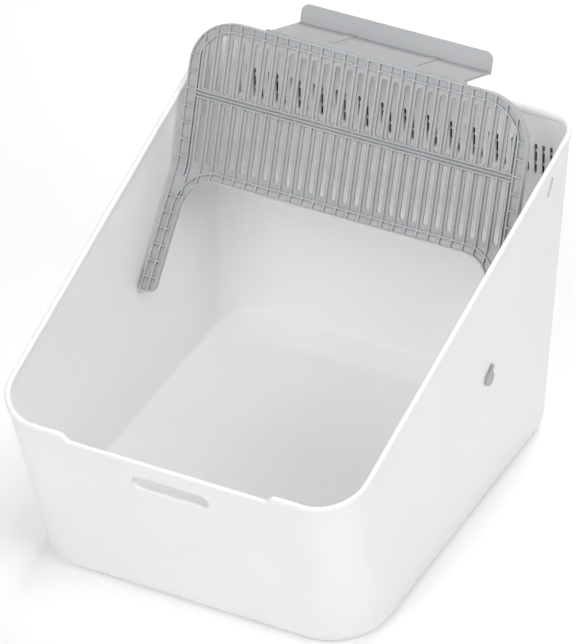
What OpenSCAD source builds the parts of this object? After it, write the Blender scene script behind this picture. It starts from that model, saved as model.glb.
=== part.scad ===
// Open-topped cat litter tub with a fold-down grid flap and a rear odour filter.
// Millimetres. +Z is up, the entry side faces -Y, the origin is on the floor
// below the middle of the tub's base. The flap is drawn raised.

/* [Tub] */
// Half of the base's width
base_half_w = 184.8; // [184:0.1:186]
// Half of the base's depth
base_half_d = 210.4; // [209.8:0.1:212]
// Wall thickness of the tub
wall = 3; // [2.4:0.1:3.2]
// Thickness of the floor
floor_t = 4; // [3:0.5:5]
// Height of the rim plane above the middle of the base
rim_mid_z = 266.5; // [266:0.1:267]
// Thickness of the rolled rim
rim_t = 5.6; // [4.6:0.1:5.8]
// Depth of the notch in the front rim
notch_depth = 7.2; // [7:0.1:9]
// Half of the notch's width at its bottom
notch_half_w = 106.8; // [106.6:0.2:110]

/* [Flap] */
// Half of the flap's width
flap_half_w = 185.7; // [184:0.1:186]
// Depth of the skirt round the flap
skirt_d = 8; // [7:0.5:9]
// Height of the ribs above the flap's plate
rib_h = 3.4; // [2:0.2:4]
// Thickness of the flap's plate
plate_t = 2.2; // [1.8:0.1:2.6]
// Thickness of the ribs
rib_t = 1.4; // [1.2:0.1:2]
// Slots in each row
slot_count = 27; // [21:2:27]
// Distance from slot to slot
slot_pitch = 12.7; // [12:0.1:12.7]
// Width of a slot
slot_w = 5.6; // [4:0.2:6.6]
// How far the flange reaches behind the pivot line's plane
flange_back = 55.7; // [54:0.1:55.9]
// Height of the lip at the end of the flange
lip_h = 22; // [16:0.5:24]

/* [Hinge] */
// Radius of the flap's pivot bosses
boss_r = 7.92; // [7.9:0.01:7.97]
// Radius of the bores in the tub's walls
bore_r = 8; // [8:0.01:8.01]

/* [Filter] */
// Vent slots in the rear wall
vent_count = 42; // [32:2:42]
// Distance from vent to vent
vent_pitch = 8.46; // [8:0.02:8.46]
// Width of a vent slot
vent_w = 3; // [2.4:0.2:3.6]
// Depth of the filter cover behind the rear wall
cover_depth = 12.4; // [10:0.2:12.4]

/* [Hidden] */

eps = 0.01;
far = 600;
fine = 96;
round_n = 64;
coarse = 48;
slot_n = 24;
white_plastic = [0.93, 0.93, 0.93];
grey_plastic = [0.68, 0.69, 0.70];
carbon_black = [0.1, 0.1, 0.1];

// Tub: the walls lean outwards as they rise
side_flare = 0.049;
front_flare = 0.14;
rear_flare = 0.10;
front_r = 60.5;
rear_r = 44;
corner_change = -0.062;
rim_angle = 16.83;
tub_top = 345;
base_fillet = 13;
cove_r = 24;
rim_h = 5.5;
rim_out = 1;
notch_slope_w = 7;
fillet_step = 15;
min_corner_r = 2;
notch_cut = [40, 120];

// Outer faces of the tub at a height
function half_x(z) = base_half_w + side_flare * z;
function front_y(z) = -(base_half_d + front_flare * z);
function rear_y(z) = base_half_d + rear_flare * z;

// Front rim: where the rim plane meets the front wall
front_rim_z = (rim_mid_z - base_half_d * tan(rim_angle)) / (1 + front_flare * tan(rim_angle));

// Hand grip in the front wall
grip_half_w = 42;
grip_h = 17.5;
grip_z = 159;
grip_cut = [20, 90];

// Hinge line of the flap and the keyhole's neck
pivot_y = 52.95;
pivot_z = 154.9;
key_lean = 32;
neck_w = 6;
neck_len = 14.5;
key_gap = 0.5;
side_cut = 30;

// Oval holes near the rear of the side walls
oval_y = 182.9;
oval_z = 298.1;
oval_lean = 31;
oval_len = 21.5;
oval_w = 6.4;

// Side profile of the flap: the legs lean back more than the panel
leg_lean = 43;
panel_lean = 22;
leg_len = 122;
panel_len = 156.8;
top_y = leg_len * sin(leg_lean) + panel_len * sin(panel_lean);
top_z = leg_len * cos(leg_lean) + panel_len * cos(panel_lean);
chord_lean = atan2(top_y, top_z);
leg_dip = leg_lean - chord_lean;
panel_rise = chord_lean - panel_lean;
band_past = 20;
draw_low = -80;
draw_len = 200;
bend_w = leg_len * cos(leg_dip);
bend_h = -leg_len * sin(leg_dip);
front_n = 14.8;
function mid_n(w) = w < bend_w ? -tan(leg_dip) * w : bend_h + tan(panel_rise) * (w - bend_w);

// Plan of the flap, seen along the draw of its mould: w runs up from the pivot
top_w = 272;
leg_end_w = -9;
flap_corner_r = 50;
arch_half_w = 169;
arch_top_w = 110;
arch_corner_r = 32;
side_frame_x = 175.6;
top_frame_w = 263.8;
arch_frame_gap = 8.4;
arch_frame_rise = 9.5;
low_slots = [124.6, 189];
high_slots = [199.4, 256.6];
corner_slot_w = 248.2;
crossbar = [190.8, 194.3, 197.8];
side_rib_pitch = 17.2;
leg_rib_pitch = 16.4;
first_leg_rib_w = 6;
leg_rib_count = 6;
first_side_rib_w = 128;
side_rib_count = 7;
side_rib_len = 10;
leg_rib_len = 20;
leg_end_r = 8;
hub_r = 9.6;
hub_w = 5;
hub_drop = 0.6;
hub_bite = 1;
key_t = 1.6;
key_slack = 0.4;

// Flange behind the panel's top edge, and the lip at its far end
lip_half_w = 105.3;
flange_half_w = 104.8;
flange_t = 2.4;
flange_tilt = 2.7;
flange_root = 157.4;
root_fillet = 6;
lip_corner_r = 8;
flange_rib_x = 46;
flange_rib_w = 9;
flange_rib_h = 1;
flange_rib_share = 0.8;
lip_bite = 0.4;

// Filter unit, in a frame that lies on the rear wall's outside
rear_lean = atan(rear_flare);
filter_z = 300;
vent_low = 267.5;
vent_high = 301;
cover_half_w = 181;
cover_low = -44;
cover_high = 29;
shell_t = 2;
slide_gap = 0.4;
frame_edge = 4;
frame_bar_h = 2.6;
frame_bar_t = 1.6;
frame_bars = [-9, -23];
pad_gap = 0.3;
pad_front = 2.4;
pad_depth = 6;
tray_left = -(cover_half_w - shell_t - slide_gap);
tray_low = cover_low + shell_t + slide_gap;
tray_high = cover_high - shell_t - slide_gap;
grille_rows = 4;
grille_cols = 9;
grille_slot = [30, 5];
grille_pitch = [38, 12];
thumb_w = 30;
thumb_h = 2.5;
thumb_d = 3;
cover_seat = 0.05;
grille_low = 14;
cut_past = 1;

// Corner discs of the tub's plan at a height, pulled in by inset
module corner_discs(z, inset) {
    hx = half_x(z) - inset;
    yf = front_y(z) + inset;
    yr = rear_y(z) - inset;
    rf = max(front_r + corner_change * z - inset, min_corner_r);
    rr = max(rear_r + corner_change * z - inset, min_corner_r);
    translate([0, 0, z]) linear_extrude(eps)
        for (s = [-1, 1]) {
            translate([s * (hx - rf), yf + rf]) circle(r = rf, $fn = round_n);
            translate([s * (hx - rr), yr - rr]) circle(r = rr, $fn = round_n);
        }
}

// Solid with the tub's tapering form and a rounded bottom edge
module tub_block(inset, bottom, fillet) {
    hull() {
        for (a = [0 : fillet_step : 90])
            corner_discs(bottom + fillet * (1 - sin(a)), inset + fillet * (1 - cos(a)));
        corner_discs(tub_top, inset);
    }
}

// Everything above the sloping rim plane, lowered by drop
module above_rim(drop) {
    translate([0, 0, rim_mid_z - drop]) rotate([rim_angle, 0, 0])
        translate([-far, -far, 0]) cube([2 * far, 2 * far, far]);
}

// Notch in the front rim, grown downwards by drop
module notch(drop) {
    low = front_rim_z - notch_depth - drop;
    half = notch_half_w + drop;
    top = low + notch_depth;
    translate([0, -base_half_d + notch_cut[0], 0]) rotate([90, 0, 0]) linear_extrude(notch_cut[1])
        polygon([
            [-half, low], [half, low], [half + notch_slope_w, top],
            [half + notch_slope_w, far], [-half - notch_slope_w, far], [-half - notch_slope_w, top]
        ]);
}

// Band under the rim plane and under the notch, where the rim is thicker
module rim_band() {
    difference() {
        union() {
            above_rim(rim_h);
            notch(rim_h);
        }
        above_rim(0);
        notch(0);
    }
}

// Slot with round ends, standing along its second axis
module round_slot(w, low, high) {
    translate([-w / 2, low + w / 2]) square([w, high - low - w]);
    translate([0, low + w / 2]) circle(d = w, $fn = slot_n);
    translate([0, high - w / 2]) circle(d = w, $fn = slot_n);
}

module vent_cutter() {
    translate([0, far, 0]) rotate([90, 0, 0]) linear_extrude(far - base_half_d)
        for (i = [0 : vent_count - 1])
            translate([(i - (vent_count - 1) / 2) * vent_pitch, 0]) round_slot(vent_w, vent_low, vent_high);
}

module grip_cutter() {
    translate([0, -base_half_d + grip_cut[0], grip_z]) rotate([90, 0, 0]) linear_extrude(grip_cut[1])
        rotate(90) round_slot(grip_h, -grip_half_w, grip_half_w);
}

// Bore for a boss, with the neck that the boss's key passes through
module keyhole(side) {
    translate([side * half_x(pivot_z), pivot_y, pivot_z]) {
        rotate([0, 90, 0]) cylinder(r = bore_r, h = side_cut, center = true, $fn = round_n);
        rotate([-key_lean, 0, 0]) translate([-side_cut / 2, -neck_w / 2, 0])
            cube([side_cut, neck_w, neck_len]);
    }
}

module oval_hole(side) {
    translate([side * half_x(oval_z), oval_y, oval_z]) rotate([-oval_lean, 0, 0])
        translate([-side_cut / 2, 0, 0]) rotate([90, 0, 90]) linear_extrude(side_cut)
            round_slot(oval_w, -oval_len / 2, oval_len / 2);
}

module tub() {
    color(white_plastic) difference() {
        union() {
            difference() {
                tub_block(0, 0, base_fillet);
                above_rim(0);
                notch(0);
            }
            intersection() {
                tub_block(-rim_out, 0, base_fillet);
                rim_band();
            }
        }
        difference() {
            tub_block(wall, floor_t, cove_r);
            difference() {
                rim_band();
                tub_block(rim_t - rim_out, floor_t, cove_r);
            }
        }
        vent_cutter();
        grip_cutter();
        for (s = [-1, 1]) {
            keyhole(s);
            oval_hole(s);
        }
    }
}

// Puts a shape drawn in the flap's own frame into place:
// x across, y along the chord from the pivot, z towards the ribbed side
module place_flap() {
    translate([0, pivot_y, pivot_z]) rotate([90 - chord_lean, 0, 0]) children();
}

// The same for a shape drawn on the panel: y runs up the panel from the bend
module place_panel() {
    translate([0, bend_w, bend_h]) rotate([panel_rise, 0, 0]) children();
}

// Slab that follows the bent side profile, between two depths behind the rib edges
module profile_band(deep, shallow) {
    w0 = leg_end_w - band_past;
    w1 = top_w + band_past;
    band_half_w = flap_half_w + band_past;
    rotate([90, 0, 90]) translate([0, 0, -band_half_w]) linear_extrude(2 * band_half_w)
        polygon([
            [w0, mid_n(w0) + front_n - deep], [bend_w, bend_h + front_n - deep],
            [w1, mid_n(w1) + front_n - deep], [w1, mid_n(w1) + front_n - shallow],
            [bend_w, bend_h + front_n - shallow], [w0, mid_n(w0) + front_n - shallow]
        ]);
}

// Outline of the flap without the arch, pulled in by inset
module panel_outline(inset) {
    r = flap_corner_r - inset;
    hw = flap_half_w - inset;
    high = top_w - inset;
    low = leg_end_w + inset;
    translate([-hw, low]) square([2 * hw, high - r - low]);
    translate([-hw + r, low]) square([2 * (hw - r), high - low]);
    for (s = [-1, 1]) translate([s * (hw - r), high - r]) circle(r = r, $fn = fine);
}

// Arch between the legs, grown outwards
module arch(side_grow, top_grow) {
    hw = arch_half_w + side_grow;
    high = arch_top_w + top_grow;
    r = arch_corner_r + side_grow;
    low = leg_end_w - band_past;
    translate([-hw, low]) square([2 * hw, high - r - low]);
    translate([-hw + r, low]) square([2 * (hw - r), high - low]);
    for (s = [-1, 1]) translate([s * (hw - r), high - r]) circle(r = r, $fn = fine);
}

// What rounds the inner corner at the foot of each leg
module foot_corners(inset) {
    r = leg_end_r - inset;
    for (s = [-1, 1])
        translate([s * (arch_half_w + inset), leg_end_w + inset]) difference() {
            translate([-r, -r]) square(2 * r);
            translate([s * r, r]) circle(r = r, $fn = coarse);
            translate([s > 0 ? r : -3 * r, -2 * r]) square([2 * r, 4 * r]);
        }
}

module flap_outline(inset) {
    difference() {
        panel_outline(inset);
        arch(inset, inset);
        foot_corners(inset);
    }
}

// Rib along the whole edge of the flap
module edge_rib() {
    difference() {
        flap_outline(0);
        flap_outline(rib_t);
    }
}

// Skirt along the outer edge, where the arch has none
module skirt_walls() {
    difference() {
        flap_outline(0);
        panel_outline(rib_t);
    }
}

// Inner frame ribs: one beside the panel's edge, one beside the arch
module frame_ribs() {
    inset = top_w - top_frame_w;
    difference() {
        intersection() {
            panel_outline(inset);
            translate([-side_frame_x, arch_top_w]) square([2 * side_frame_x, far]);
        }
        intersection() {
            panel_outline(inset + rib_t);
            translate([-side_frame_x + rib_t, 0]) square([2 * (side_frame_x - rib_t), far]);
        }
        arch(arch_frame_gap, arch_frame_rise);
    }
    intersection() {
        difference() {
            arch(arch_frame_gap, arch_frame_rise);
            arch(arch_frame_gap - rib_t, arch_frame_rise - rib_t);
        }
        panel_outline(0);
    }
}

module slots() {
    for (i = [0 : slot_count - 1]) {
        edge = i == 0 || i == slot_count - 1;
        translate([(i - (slot_count - 1) / 2) * slot_pitch, 0]) {
            round_slot(slot_w, low_slots[0], low_slots[1]);
            round_slot(slot_w, high_slots[0], edge ? corner_slot_w : high_slots[1]);
        }
    }
}

// Ribs between the slots, crossbar ribs, and short ribs in the border and the legs
module grid_ribs() {
    low_len = crossbar[0] - arch_top_w + band_past;
    for (i = [0 : slot_count]) {
        x = (i - slot_count / 2) * slot_pitch;
        translate([x - rib_t / 2, crossbar[0] - low_len]) square([rib_t, low_len]);
        translate([x - rib_t / 2, crossbar[2]]) square([rib_t, top_w - crossbar[2]]);
    }
    for (w = crossbar) translate([-side_frame_x, w - rib_t / 2]) square([2 * side_frame_x, rib_t]);
    for (s = [-1, 1]) {
        for (i = [0 : side_rib_count - 1])
            translate([s * (flap_half_w - side_rib_len / 2), first_side_rib_w + i * side_rib_pitch])
                square([side_rib_len + rib_t, rib_t], center = true);
        for (i = [0 : leg_rib_count - 1])
            translate([s * (flap_half_w + arch_half_w) / 2, first_leg_rib_w + i * leg_rib_pitch])
                square([leg_rib_len, rib_t], center = true);
    }
}

// Plan of the flange: a tongue with a concave curve at each side of its root
module flange_plan(depth) {
    translate([-flange_half_w, 0]) square([2 * flange_half_w, depth]);
    for (s = [-1, 1])
        translate([s * flange_half_w, 0]) difference() {
            translate([-root_fillet, 0]) square([2 * root_fillet, root_fillet]);
            translate([s * root_fillet, root_fillet]) circle(r = root_fillet, $fn = coarse);
        }
}

module lip_plan() {
    r = lip_corner_r;
    translate([-lip_half_w, 0]) square([2 * lip_half_w, lip_h - r]);
    translate([-lip_half_w + r, 0]) square([2 * (lip_half_w - r), lip_h]);
    for (s = [-1, 1]) translate([s * (lip_half_w - r), lip_h - r]) circle(r = r, $fn = coarse);
}

module flange_and_lip() {
    back = front_n - skirt_d;
    reach = back + flange_back;
    place_panel() translate([0, flange_root, back]) rotate([-flange_tilt, 0, 0]) {
        rotate([-90, 0, 0]) translate([0, 0, -flange_t]) linear_extrude(flange_t)
            flange_plan(reach + flange_t / 2);
        for (s = [-1, 1])
            translate([s * flange_rib_x - flange_rib_w / 2, -eps, -reach])
                cube([flange_rib_w, flange_rib_h + eps, reach * flange_rib_share]);
    }
    lip_foot = flange_root - flange_t - (reach + flange_t) * tan(flange_tilt) - lip_bite;
    place_panel() translate([0, lip_foot, -flange_back - flange_t]) linear_extrude(flange_t) lip_plan();
}

// Ear at the foot of each leg, with the boss that turns in the tub's wall.
// The key at the boss's end lies outside the wall once the boss is in its bore.
module leg_boss(side) {
    key_x = half_x(pivot_z + neck_len) + key_gap;
    root_x = flap_half_w - hub_w;
    translate([side * (flap_half_w - hub_w / 2), 0, 0]) {
        rotate([0, 90, 0]) cylinder(r = hub_r, h = hub_w, center = true, $fn = round_n);
        translate([-hub_w / 2, -hub_r + hub_drop, 0])
            cube([hub_w, 2 * hub_r - hub_drop, front_n - rib_h - plate_t + hub_bite]);
    }
    translate([side * root_x, 0, 0]) rotate([0, side * 90, 0])
        cylinder(r = boss_r, h = key_x + key_t - root_x, $fn = round_n);
    rotate([chord_lean - key_lean, 0, 0])
        translate([side * (key_x + key_t / 2) - key_t / 2, 0, -neck_w / 2 + key_slack])
            cube([key_t, neck_len - key_gap, neck_w - 2 * key_slack]);
}

module draw_prism() {
    translate([0, 0, draw_low]) linear_extrude(draw_len) children();
}

module flap_grid() {
    color(grey_plastic) place_flap() {
        intersection() {
            draw_prism() difference() {
                flap_outline(0);
                slots();
            }
            profile_band(rib_h + plate_t, rib_h);
        }
        intersection() {
            draw_prism() {
                edge_rib();
                frame_ribs();
                intersection() {
                    grid_ribs();
                    flap_outline(0);
                }
            }
            profile_band(rib_h + plate_t, 0);
        }
        intersection() {
            draw_prism() skirt_walls();
            profile_band(skirt_d, 0);
        }
        flange_and_lip();
        leg_boss(-1);
        leg_boss(1);
    }
}

// Puts a shape into the frame that lies on the rear wall's outside
module place_filter() {
    translate([0, rear_y(filter_z), filter_z]) rotate([-rear_lean, 0, 0]) children();
}

// Shell behind the vents, with a grille in its back and its +X end open
module filter_cover() {
    inner_w = cover_half_w - shell_t;
    inner_h = cover_high - cover_low - 2 * shell_t;
    color(white_plastic) place_filter() difference() {
        translate([-cover_half_w, cover_seat, cover_low])
            cube([2 * cover_half_w, cover_depth, cover_high - cover_low]);
        translate([-inner_w, -cut_past, cover_low + shell_t])
            cube([far, cover_depth - shell_t + cut_past, inner_h]);
        for (row = [0 : grille_rows - 1])
            for (col = [0 : grille_cols - 1])
                translate([(col - (grille_cols - 1) / 2) * grille_pitch[0] - grille_slot[0] / 2,
                           cover_depth - shell_t - cut_past, cover_low + grille_low + row * grille_pitch[1]])
                    cube([grille_slot[0], shell_t + 2 * cut_past, grille_slot[1]]);
    }
}

// Tray that holds the filter and slides out of the cover's open end
module filter_frame() {
    length = cover_half_w - tray_left;
    height = tray_high - tray_low;
    depth = cover_depth - shell_t - slide_gap;
    hollow = length - 2 * frame_edge;
    color(white_plastic) place_filter() {
        difference() {
            translate([tray_left, slide_gap, tray_low]) cube([length, depth - slide_gap, height]);
            translate([tray_left + frame_edge, -cut_past, tray_low + frame_edge])
                cube([hollow, depth + 2 * cut_past, height - 2 * frame_edge]);
            translate([cover_half_w - thumb_h, depth - thumb_d, tray_low + (height - thumb_w) / 2])
                cube([thumb_h + cut_past, thumb_d + cut_past, thumb_w]);
        }
        for (z = frame_bars)
            translate([tray_left + frame_edge - cut_past, slide_gap, z - frame_bar_h / 2])
                cube([hollow + 2 * cut_past, frame_bar_t, frame_bar_h]);
    }
}

module carbon_filter() {
    edge = frame_edge + pad_gap;
    color(carbon_black) place_filter() translate([tray_left + edge, pad_front, tray_low + edge])
        cube([cover_half_w - tray_left - 2 * edge, pad_depth, tray_high - tray_low - 2 * edge]);
}

tub();
flap_grid();
filter_cover();
filter_frame();
carbon_filter();
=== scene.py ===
"""Litter tub with a fold-down grid flap: materials, detail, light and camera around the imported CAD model."""
import math

import bmesh
import bpy
from mathutils import Matrix, Vector, noise as mesh_noise


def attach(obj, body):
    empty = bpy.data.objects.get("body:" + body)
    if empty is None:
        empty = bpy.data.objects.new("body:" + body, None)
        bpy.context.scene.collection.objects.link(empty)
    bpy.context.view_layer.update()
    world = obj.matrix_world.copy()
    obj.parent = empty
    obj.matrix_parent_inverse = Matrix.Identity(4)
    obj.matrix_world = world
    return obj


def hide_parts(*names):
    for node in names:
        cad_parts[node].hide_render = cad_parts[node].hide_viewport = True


MM = 0.001

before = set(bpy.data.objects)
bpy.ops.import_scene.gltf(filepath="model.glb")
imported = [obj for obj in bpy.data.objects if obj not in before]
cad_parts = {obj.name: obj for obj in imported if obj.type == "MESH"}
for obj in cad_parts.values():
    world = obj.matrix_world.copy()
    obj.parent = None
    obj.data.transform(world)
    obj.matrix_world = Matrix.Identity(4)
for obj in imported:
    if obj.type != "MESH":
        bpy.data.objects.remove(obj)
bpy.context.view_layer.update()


# ---------------------------------------------------------------- materials

def new_material(name, color, roughness, specular):
    mat = bpy.data.materials.new(name)
    mat.use_nodes = True
    shader = mat.node_tree.nodes["Principled BSDF"]
    shader.inputs["Base Color"].default_value = (*color, 1)
    shader.inputs["Roughness"].default_value = roughness
    shader.inputs["Specular IOR Level"].default_value = specular
    return mat, mat.node_tree, shader


def noise(tree, scale, detail, roughness=0.5):
    coords = tree.nodes.new("ShaderNodeTexCoord")
    node = tree.nodes.new("ShaderNodeTexNoise")
    node.inputs["Scale"].default_value = scale
    node.inputs["Detail"].default_value = detail
    node.inputs["Roughness"].default_value = roughness
    tree.links.new(coords.outputs["Object"], node.inputs["Vector"])
    return node.outputs["Fac"]


def remap(tree, value, low, high):
    node = tree.nodes.new("ShaderNodeMapRange")
    node.inputs["To Min"].default_value = low
    node.inputs["To Max"].default_value = high
    tree.links.new(value, node.inputs["Value"])
    return node.outputs["Result"]


def tint(tree, value, dark, light):
    ramp = tree.nodes.new("ShaderNodeValToRGB")
    ramp.color_ramp.elements[0].position = 0.3
    ramp.color_ramp.elements[1].position = 0.7
    ramp.color_ramp.elements[0].color = (*dark, 1)
    ramp.color_ramp.elements[1].color = (*light, 1)
    tree.links.new(value, ramp.inputs["Fac"])
    return ramp.outputs["Color"]


def bump(tree, shader, height, strength, distance):
    node = tree.nodes.new("ShaderNodeBump")
    node.inputs["Strength"].default_value = strength
    node.inputs["Distance"].default_value = distance
    tree.links.new(height, node.inputs["Height"])
    tree.links.new(node.outputs["Normal"], shader.inputs["Normal"])


CLOUD_SCALE, GRAIN_SCALE, SCUFF_SCALE, CELL_SCALE = 9, 1400, 26, 600
GRAIN_DEPTH, CELL_DEPTH = 0.00004, 0.0008
PLASTIC_SPECULAR, PLASTIC_ROUGH, GRAIN_BUMP = 0.4, (0.34, 0.46), 0.5
GRAIN_SHARE, SCUFF_SHARE = 0.45, (0.1, 0.45)


def moulded_plastic(name, dark, light):
    """Plastic with a fine moulded grain, faint flow clouds, and light scuffs that change its gloss."""
    mat, tree, shader = new_material(name, light, PLASTIC_ROUGH[0], PLASTIC_SPECULAR)
    cloud = noise(tree, CLOUD_SCALE, 2)
    tree.links.new(tint(tree, cloud, dark, light), shader.inputs["Base Color"])
    fine = noise(tree, GRAIN_SCALE, 2)
    scuffs = noise(tree, SCUFF_SCALE, 6, 0.7)
    mixed = tree.nodes.new("ShaderNodeMath")
    mixed.operation = "MULTIPLY_ADD"
    mixed.inputs[1].default_value = GRAIN_SHARE
    tree.links.new(fine, mixed.inputs[0])
    tree.links.new(remap(tree, scuffs, *SCUFF_SHARE), mixed.inputs[2])
    tree.links.new(remap(tree, mixed.outputs["Value"], *PLASTIC_ROUGH), shader.inputs["Roughness"])
    bump(tree, shader, fine, GRAIN_BUMP, GRAIN_DEPTH)
    return mat


def white_plastic():
    return moulded_plastic("white_polypropylene", (0.85, 0.85, 0.85), (0.87, 0.87, 0.87))


def grey_plastic():
    return moulded_plastic("grey_polypropylene", (0.40, 0.41, 0.42), (0.44, 0.45, 0.46))


def carbon_foam():
    mat, tree, shader = new_material("carbon_foam", (0.012, 0.012, 0.012), 0.95, 0.2)
    cells = noise(tree, CELL_SCALE, 2)
    color = tint(tree, cells, (0.004, 0.004, 0.004), (0.02, 0.02, 0.021))
    tree.links.new(color, shader.inputs["Base Color"])
    bump(tree, shader, cells, 1.0, CELL_DEPTH)
    return mat


EDGE_ANGLE, TUB_EDGE_ANGLE, SHARP_ANGLE = 40, 50, 35
FLAP_EDGE, COVER_EDGE, FRAME_EDGE, TUB_EDGE = 0.3, 0.5, 0.4, 0.6


def soften_edges(obj, width_mm, angle):
    """Rounds the edges that are sharper than angle, in degrees."""
    edge = obj.modifiers.new("edge", "BEVEL")
    edge.width = width_mm * MM
    edge.segments = 2
    edge.limit_method = "ANGLE"
    edge.angle_limit = math.radians(angle)
    edge.harden_normals = True


def dress(node, mat, edge_mm):
    """Gives a CAD node its material and rounded edges."""
    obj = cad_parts[node]
    obj.data.materials.clear()
    obj.data.materials.append(mat)
    for poly in obj.data.polygons:
        poly.material_index = 0
    soften_edges(obj, edge_mm, EDGE_ANGLE)


# ---------------------------------------------------------------- mesh helpers

def mesh_object(name, verts_mm, faces):
    mesh = bpy.data.meshes.new(name)
    mesh.from_pydata([(x * MM, y * MM, z * MM) for x, y, z in verts_mm], [], faces)
    mesh.validate()
    obj = bpy.data.objects.new(name, mesh)
    bpy.context.scene.collection.objects.link(obj)
    return obj


def bake_modifiers(obj):
    """Applies the object's modifiers to its mesh."""
    graph = bpy.context.evaluated_depsgraph_get()
    mesh = bpy.data.meshes.new_from_object(obj.evaluated_get(graph))
    obj.modifiers.clear()
    obj.data = mesh


def cut(obj, cutter):
    """Takes the cutter's volume out of the object, and deletes the cutter."""
    bool_mod = obj.modifiers.new("cut", "BOOLEAN")
    bool_mod.operation = "DIFFERENCE"
    bool_mod.solver = "EXACT"
    bool_mod.object = cutter
    bake_modifiers(obj)
    bpy.data.objects.remove(cutter)


def prism(outline, place, depth):
    """A closed prism: place maps (a, b, t) to x, y, z, and t runs from 0 to depth."""
    n = len(outline)
    verts = [place(a, b, t) for t in (0, depth) for a, b in outline]
    sides = [(i, (i + 1) % n, n + (i + 1) % n, n + i) for i in range(n)]
    return verts, [tuple(reversed(range(n)))] + [tuple(range(n, 2 * n))] + sides


def gather(name, prisms):
    """One object from separate prisms, with its face normals outward."""
    verts, faces = [], []
    for part_verts, part_faces in prisms:
        faces += [tuple(i + len(verts) for i in f) for f in part_faces]
        verts += part_verts
    obj = mesh_object(name, verts, faces)
    bm = bmesh.new()
    bm.from_mesh(obj.data)
    bmesh.ops.recalc_face_normals(bm, faces=bm.faces)
    bm.to_mesh(obj.data)
    bm.free()
    return obj


def arc(cx, cy, r, start, end, steps):
    """Points of an arc between two angles in degrees."""
    return [(cx + r * math.cos(math.radians(start + (end - start) * i / steps)),
             cy + r * math.sin(math.radians(start + (end - start) * i / steps))) for i in range(steps + 1)]


def stadium(half_len, half_w, steps=12):
    """Outline of a slot with round ends, long in its first coordinate."""
    c = half_len - half_w
    return arc(c, 0, half_w, -90, 90, steps) + arc(-c, 0, half_w, 90, 270, steps)


# ---------------------------------------------------------------- tub

# Millimetres and degrees. The plan at the base, and how much it grows per millimetre of height.
BASE_HALF_W, BASE_HALF_D = 184.8, 210.4
SIDE_FLARE, FRONT_FLARE, REAR_FLARE = 0.049, 0.14, 0.10
FRONT_R, REAR_R, CORNER_CHANGE = 60.5, 44.0, -0.062
SIDE_STEP, FRONT_COUNT, CORNER_STEPS = 9.0, 130, 22

# The sloping rim, its bead, how far below the bead the walls end, and the notch over the entry.
RIM_MID_Z, RIM_SLOPE = 266.5, math.tan(math.radians(16.83))
RIM_H, RIM_OUT, RIM_IN, RIM_ROUND = 5.5, 1.0, 4.6, 2.2
OUTER_GAP, INNER_GAP = 1.2, 1.6
NOTCH_Z, NOTCH_HALF_W, NOTCH_END_W = 187.4, 106.8, 9.0

# Walls, the rounded base, and the sloping band between the walls and the floor inside.
WALL, FLOOR_T = 3.0, 4.0
BASE_FILLET = 13.0
BAND_H, BAND_W, BAND_HIGH_EASE, BAND_LOW_EASE = 14.0, 26.0, 4.0, 7.0
WALL_STEPS, FILLET_STEPS, RIM_STEPS, EASE_STEPS = 12, 7, 5, 6

# Openings: places are (y, z) on the side walls, and leans are from upright.
PIVOT = (52.95, 154.9)
BORE_R, KEY_LEAN, NECK_W, NECK_LEN, NECK_END_R = 8.0, 32.0, 6.0, 14.5, 2.0
OVAL = (182.9, 298.1)
OVAL_LEAN, OVAL_LEN, OVAL_W = 31.0, 21.5, 6.4
GRIP_Z, GRIP_HALF_W, GRIP_H = 159.0, 42.0, 17.5
VENTS, VENT_PITCH, VENT_W, VENT_LOW, VENT_HIGH = 42, 8.46, 3.0, 267.5, 301.0

# Where the cutters start, inside each wall, and how far out they reach.
FRONT_CUT_Y, SIDE_CUT_X, REAR_CUT_Y = -200.4, 180.0, 225.0
FRONT_CUT_LEN, WALL_CUT_LEN = 50, 30


def smooth(t):
    """0 below 0, 1 above 1, and an even curve between."""
    t = min(max(t, 0.0), 1.0)
    return t * t * (3 - 2 * t)


def plan_ring(z, inset):
    """Points round the tub's plan at height z, pulled in by inset; the same count at every height."""
    half_x = BASE_HALF_W + SIDE_FLARE * z - inset
    front = -(BASE_HALF_D + FRONT_FLARE * z) + inset
    rear = BASE_HALF_D + REAR_FLARE * z - inset
    front_r = FRONT_R + CORNER_CHANGE * z - inset
    rear_r = REAR_R + CORNER_CHANGE * z - inset
    corners = [(half_x - front_r, front + front_r, front_r, -90),
               (half_x - rear_r, rear - rear_r, rear_r, 0),
               (-half_x + rear_r, rear - rear_r, rear_r, 90),
               (-half_x + front_r, front + front_r, front_r, 180)]
    side_count, rear_count = round(2 * BASE_HALF_D / SIDE_STEP), round(2 * BASE_HALF_W / SIDE_STEP)
    counts = (side_count, rear_count, side_count, FRONT_COUNT)
    ring = []
    for i, (cx, cy, r, start) in enumerate(corners):
        ring += arc(cx, cy, r, start, start + 90, CORNER_STEPS)
        x0, y0 = ring[-1]
        nx, ny, nr, nstart = corners[(i + 1) % 4]
        x1, y1 = arc(nx, ny, nr, nstart, nstart, 1)[0]
        ring += [(x0 + (x1 - x0) * k / counts[i], y0 + (y1 - y0) * k / counts[i])
                 for k in range(1, counts[i])]
    return ring


def ease(start, bend, end):
    """Points of a curve that rounds off the bend between start and end."""
    parts = [i / EASE_STEPS for i in range(EASE_STEPS + 1)]
    return [tuple((1 - t) ** 2 * a + 2 * t * (1 - t) * b + t * t * c for a, b, c in zip(start, bend, end))
            for t in parts]


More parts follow.
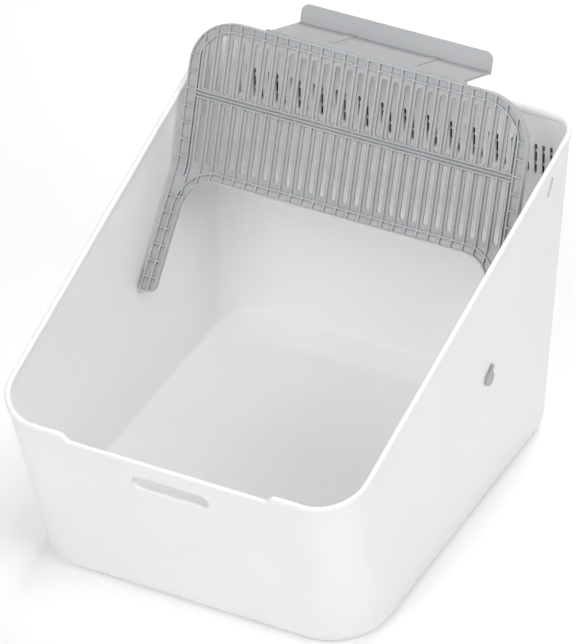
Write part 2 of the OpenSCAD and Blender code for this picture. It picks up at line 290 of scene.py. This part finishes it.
def tub_section():
    """Stations in five runs, from the base's underside over the rim to the floor inside.

    under and foot hold (inset, height), rim holds (inset, drop below the rim's top), and up and
    down hold (inset, lowest height, drop below the rim's top, share of the way up between them).
    """
    def quarter(steps):
        return [math.radians(90 * i / steps) for i in range(steps + 1)]
    under = [(BASE_FILLET * (1 - math.cos(a)), BASE_FILLET * (1 - math.sin(a)))
             for a in reversed(quarter(FILLET_STEPS))]
    up = [(0, BASE_FILLET, RIM_H + OUTER_GAP, i / WALL_STEPS) for i in range(1, WALL_STEPS + 1)]
    lip_out = [(-0.35, RIM_H + 0.5), (-0.85, RIM_H - 0.1), (-RIM_OUT, RIM_H - 1.2)]
    over = [(-RIM_OUT + RIM_ROUND * (1 - math.cos(a)), RIM_ROUND * (1 - math.sin(a)))
            for a in quarter(RIM_STEPS)]
    back = [(RIM_IN - RIM_ROUND * (1 - math.sin(a)), RIM_ROUND * (1 - math.cos(a)))
            for a in quarter(RIM_STEPS)]
    lip_in = [(RIM_IN, RIM_H - 1.2), (RIM_IN - 0.2, RIM_H - 0.2), (RIM_IN - 0.8, RIM_H + 0.5)]
    band_top = FLOOR_T + BAND_H + BAND_HIGH_EASE
    down = [(WALL, band_top, RIM_H + INNER_GAP, i / WALL_STEPS) for i in range(WALL_STEPS, 0, -1)]
    slope = math.hypot(BAND_W, BAND_H)

    def on_band(reach):
        return BAND_W * reach / slope, BAND_H * (1 - reach / slope)
    high = ease((0, BAND_H + BAND_HIGH_EASE), (0, BAND_H), on_band(BAND_HIGH_EASE))
    low = ease(on_band(slope - BAND_LOW_EASE), (BAND_W, 0), (BAND_W + BAND_LOW_EASE, 0))
    foot = [(WALL + a, FLOOR_T + b) for a, b in high + low]
    return under, up, lip_out + over + back + lip_in, down, foot


def tub_rings():
    """Rings of points round the tub, one for each station of its section."""
    base, lifted, pulled = plan_ring(0, 0), plan_ring(1, 0), plan_ring(0, 1)
    grow = [(b[0] - a[0], b[1] - a[1]) for a, b in zip(base, lifted)]
    pull = [(b[0] - a[0], b[1] - a[1]) for a, b in zip(base, pulled)]

    def rim_z(i, inset):
        plane = (RIM_MID_Z + RIM_SLOPE * (base[i][1] + inset * pull[i][1])) / (1 - RIM_SLOPE * grow[i][1])
        x = abs(base[i][0] + plane * grow[i][0])
        if base[i][1] > 0 or x > NOTCH_HALF_W + NOTCH_END_W:
            return plane
        return NOTCH_Z + (plane - NOTCH_Z) * smooth((x - NOTCH_HALF_W) / NOTCH_END_W)

    def point(i, inset, z):
        return (base[i][0] + z * grow[i][0] + inset * pull[i][0],
                base[i][1] + z * grow[i][1] + inset * pull[i][1], z)

    def between(i, inset, low, drop, share):
        return point(i, inset, low + share * (rim_z(i, inset) - drop - low))

    under, up, rim, down, foot = tub_section()
    every = range(len(base))
    rings = [[point(i, inset, z) for i in every] for inset, z in under]
    rings += [[between(i, *station) for i in every] for station in up]
    rings += [[point(i, inset, rim_z(i, inset) - drop) for i in every] for inset, drop in rim]
    rings += [[between(i, *station) for i in every] for station in down]
    rings += [[point(i, inset, z) for i in every] for inset, z in foot]
    return rings


def tub_shell():
    rings = tub_rings()
    n = len(rings[0])
    verts = [p for ring in rings for p in ring]
    faces = [(k * n + i, k * n + (i + 1) % n, (k + 1) * n + (i + 1) % n, (k + 1) * n + i)
             for k in range(len(rings) - 1) for i in range(n)]
    last = (len(rings) - 1) * n
    faces += [tuple(reversed(range(n))), tuple(range(last, last + n))]
    return mesh_object("tub_shell", verts, faces)


def keyhole_outline():
    """Round bore with a neck, the neck along the second coordinate, its end rounded."""
    half = NECK_W / 2
    start = math.degrees(math.asin(half / BORE_R))
    bore = arc(0, 0, BORE_R, 90 + start, 450 - start, 40)
    end_x, end_y = half - NECK_END_R, NECK_LEN - NECK_END_R
    end = arc(end_x, end_y, NECK_END_R, 0, 90, 5) + arc(-end_x, end_y, NECK_END_R, 90, 180, 5)
    return bore + end


def tub_cutters():
    """Prisms through the walls: the hand grip, the keyholes, the oval holes and the vents."""
    def on_front(a, b, t):
        return a, FRONT_CUT_Y - t, GRIP_Z + b

    def on_side(side, centre, lean):
        s, c = math.sin(math.radians(lean)), math.cos(math.radians(lean))

        def place(a, b, t):
            return side * (SIDE_CUT_X + t), centre[0] + a * c + b * s, centre[1] - a * s + b * c
        return place

    def on_rear(i):
        def place(a, b, t):
            return (i - (VENTS - 1) / 2) * VENT_PITCH + b, REAR_CUT_Y + t, (VENT_LOW + VENT_HIGH) / 2 + a
        return place

    cutters = [prism(stadium(GRIP_HALF_W, GRIP_H / 2), on_front, FRONT_CUT_LEN)]
    upright = [(-b, a) for a, b in stadium(OVAL_LEN / 2, OVAL_W / 2)]
    for side in (-1, 1):
        cutters.append(prism(keyhole_outline(), on_side(side, PIVOT, KEY_LEAN), WALL_CUT_LEN))
        cutters.append(prism(upright, on_side(side, OVAL, OVAL_LEAN), WALL_CUT_LEN))
    vent = stadium((VENT_HIGH - VENT_LOW) / 2, VENT_W / 2, 6)
    cutters += [prism(vent, on_rear(i), WALL_CUT_LEN) for i in range(VENTS)]
    return cutters


def build_tub(mat):
    tub = tub_shell()
    cut(tub, gather("tub_cutters", tub_cutters()))
    tub.name = "tub_moulding"
    tub.data.name = "tub_moulding"
    tub.data.materials.clear()
    tub.data.materials.append(mat)
    tub.data.shade_smooth()
    tub.data.set_sharp_from_angle(angle=math.radians(SHARP_ANGLE))
    soften_edges(tub, TUB_EDGE, TUB_EDGE_ANGLE)
    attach(tub, "tub")
    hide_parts("tub")


# ---------------------------------------------------------------- carbon foam pad

# The pad's place is (y, z) on the rear wall's outside. Its limits are from there, along the wall,
# and PAD_FRONT is its gap from the wall.
PAD_PLACE = (240.4, 300.0)
PAD_LEFT, PAD_RIGHT, PAD_LOW, PAD_HIGH = -174.3, 176.7, -37.3, 22.3
PAD_FRONT, PAD_DEPTH, PAD_EDGE = 2.4, 6.0, 2.6
PAD_STEP, PAD_WELD = 2.2, 0.01

# How deep the foam's cells and its slow swell are, how fast they change per millimetre, and seeds.
FOAM_SINK, FOAM_CELL, FOAM_SWELL = 0.22, 0.28, 0.12
CELL_RATE, SWELL_RATE_X, SWELL_RATE_Z = 0.31, 0.03, 0.06
CELL_SEED, SWELL_SEED = 7.0, 3.0


def pad_stations(low, high):
    """Positions across the pad, closer together in the rounded edges."""
    near = (0.0, 0.25, 0.8, 1.6, PAD_EDGE)
    count = round((high - low - 2 * PAD_EDGE) / PAD_STEP)
    middle = [low + PAD_EDGE + (high - low - 2 * PAD_EDGE) * i / count for i in range(1, count)]
    return [low + d for d in near] + middle + [high - d for d in reversed(near)]


def pad_point(x, z, side):
    """A point on the front (-1) or back (+1) of the foam, with open cells and a slight crown."""
    inside = min(x - PAD_LEFT, PAD_RIGHT - x, z - PAD_LOW, PAD_HIGH - z)
    edge = 1 - min(inside / PAD_EDGE, 1.0)
    half = PAD_DEPTH / 2 * math.sqrt(max(1 - edge * edge, 0.0))
    if inside >= PAD_EDGE:
        cell = mesh_noise.noise(Vector((x * CELL_RATE, side * CELL_SEED, z * CELL_RATE)))
        swell = mesh_noise.noise(Vector((x * SWELL_RATE_X, side * SWELL_SEED, z * SWELL_RATE_Z)))
        half -= FOAM_SINK + FOAM_CELL * cell + FOAM_SWELL * swell
    return x, PAD_FRONT + PAD_DEPTH / 2 + side * half, z


def build_pad(mat):
    xs, zs = pad_stations(PAD_LEFT, PAD_RIGHT), pad_stations(PAD_LOW, PAD_HIGH)
    verts, faces = [], []
    for side in (-1, 1):
        first = len(verts)
        verts += [pad_point(x, z, side) for x in xs for z in zs]
        for i in range(len(xs) - 1):
            for k in range(len(zs) - 1):
                a = first + i * len(zs) + k
                quad = (a, a + len(zs), a + len(zs) + 1, a + 1)
                faces.append(quad if side < 0 else tuple(reversed(quad)))
    pad = mesh_object("carbon_pad", verts, faces)
    bm = bmesh.new()
    bm.from_mesh(pad.data)
    bmesh.ops.remove_doubles(bm, verts=bm.verts, dist=PAD_WELD * MM)
    bm.to_mesh(pad.data)
    bm.free()
    lean = Matrix.Rotation(-math.atan(REAR_FLARE), 4, "X")
    pad.data.transform(Matrix.Translation((0, PAD_PLACE[0] * MM, PAD_PLACE[1] * MM)) @ lean)
    pad.data.materials.append(mat)
    pad.data.shade_smooth()
    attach(pad, "filter")
    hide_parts("carbon_filter")


# ---------------------------------------------------------------- camera and light

# Place and lens in millimetres, angles in degrees, and shift as a share of the sensor's width.
CAMERA_PLACE = (2418.7, -4038.8, 3837.0)
CAMERA_YAW, CAMERA_PITCH, CAMERA_ROLL = -30.92, -37.67, -4.01
CAMERA_LENS, CAMERA_SHIFT = 383.9, (0.00694, -0.00495)


def camera():
    """The camera stands to the right of the entry side and looks down into the tub."""
    yaw, pitch, roll = math.radians(CAMERA_YAW), math.radians(CAMERA_PITCH), math.radians(CAMERA_ROLL)
    look = Vector((math.sin(yaw) * math.cos(pitch), math.cos(yaw) * math.cos(pitch), math.sin(pitch)))
    right = look.cross(Vector((0, 0, 1))).normalized()
    up = right.cross(look)
    right, up = (math.cos(roll) * right + math.sin(roll) * up,
                 math.cos(roll) * up - math.sin(roll) * right)
    data = bpy.data.cameras.new("camera")
    data.sensor_fit = "HORIZONTAL"
    data.sensor_width = 36
    data.lens = CAMERA_LENS
    data.shift_x, data.shift_y = CAMERA_SHIFT
    data.clip_start = 0.05
    data.clip_end = 60
    cam = bpy.data.objects.new("camera", data)
    place = Matrix((right, up, -look)).transposed().to_4x4()
    place.translation = Vector(CAMERA_PLACE) * MM
    cam.matrix_world = place
    bpy.context.scene.collection.objects.link(cam)
    bpy.context.scene.camera = cam


def area_light(name, place, target, size, power):
    """A square soft light at place, in metres, aimed at target."""
    data = bpy.data.lights.new(name, "AREA")
    data.shape = "SQUARE"
    data.size = size
    data.energy = power
    light = bpy.data.objects.new(name, data)
    light.location = place
    light.visible_camera = False
    aim = Vector(target) - Vector(place)
    light.rotation_euler = aim.to_track_quat("-Z", "Y").to_euler()
    bpy.context.scene.collection.objects.link(light)


SOFTBOX, FLOOR_REACH = 1.8, 30.0


def studio():
    """A pale floor, four softboxes round the tub and a small light over its opening."""
    floor_mesh = bpy.data.meshes.new("floor")
    corners = [(x * FLOOR_REACH, y * FLOOR_REACH, 0) for x, y in ((-1, -1), (1, -1), (1, 1), (-1, 1))]
    floor_mesh.from_pydata(corners, [], [(0, 1, 2, 3)])
    floor = bpy.data.objects.new("floor", floor_mesh)
    bpy.context.scene.collection.objects.link(floor)
    mat, _, shader = new_material("studio_floor", (0.95, 0.95, 0.95), 0.9, 0.1)
    shader.inputs["Emission Color"].default_value = (1, 1, 1, 1)
    shader.inputs["Emission Strength"].default_value = 0.08
    floor_mesh.materials.append(mat)
    world = bpy.data.worlds.new("studio")
    world.use_nodes = True
    world.node_tree.nodes["Background"].inputs["Color"].default_value = (1, 1, 1, 1)
    world.node_tree.nodes["Background"].inputs["Strength"].default_value = 0.15
    bpy.context.scene.world = world
    bpy.context.scene.view_settings.view_transform = "Standard"
    middle = (0, 0, 0.15)
    area_light("front", (0.0, -2.52, 1.97), middle, SOFTBOX, 39)
    area_light("right", (2.44, -0.65, 1.97), middle, SOFTBOX, 34)
    area_light("left", (-2.18, -1.26, 1.97), middle, SOFTBOX, 9)
    area_light("back", (0.0, 2.4, 2.1), middle, SOFTBOX, 60)
    area_light("boom", (0.05, -0.2, 0.9), (0, 0.24, 0.15), 0.4, 1.9)


build_tub(white_plastic())
dress("flap_grid", grey_plastic(), FLAP_EDGE)
cover_plastic = white_plastic()
dress("filter_cover", cover_plastic, COVER_EDGE)
dress("filter_frame", cover_plastic, FRAME_EDGE)
build_pad(carbon_foam())
camera()
studio()
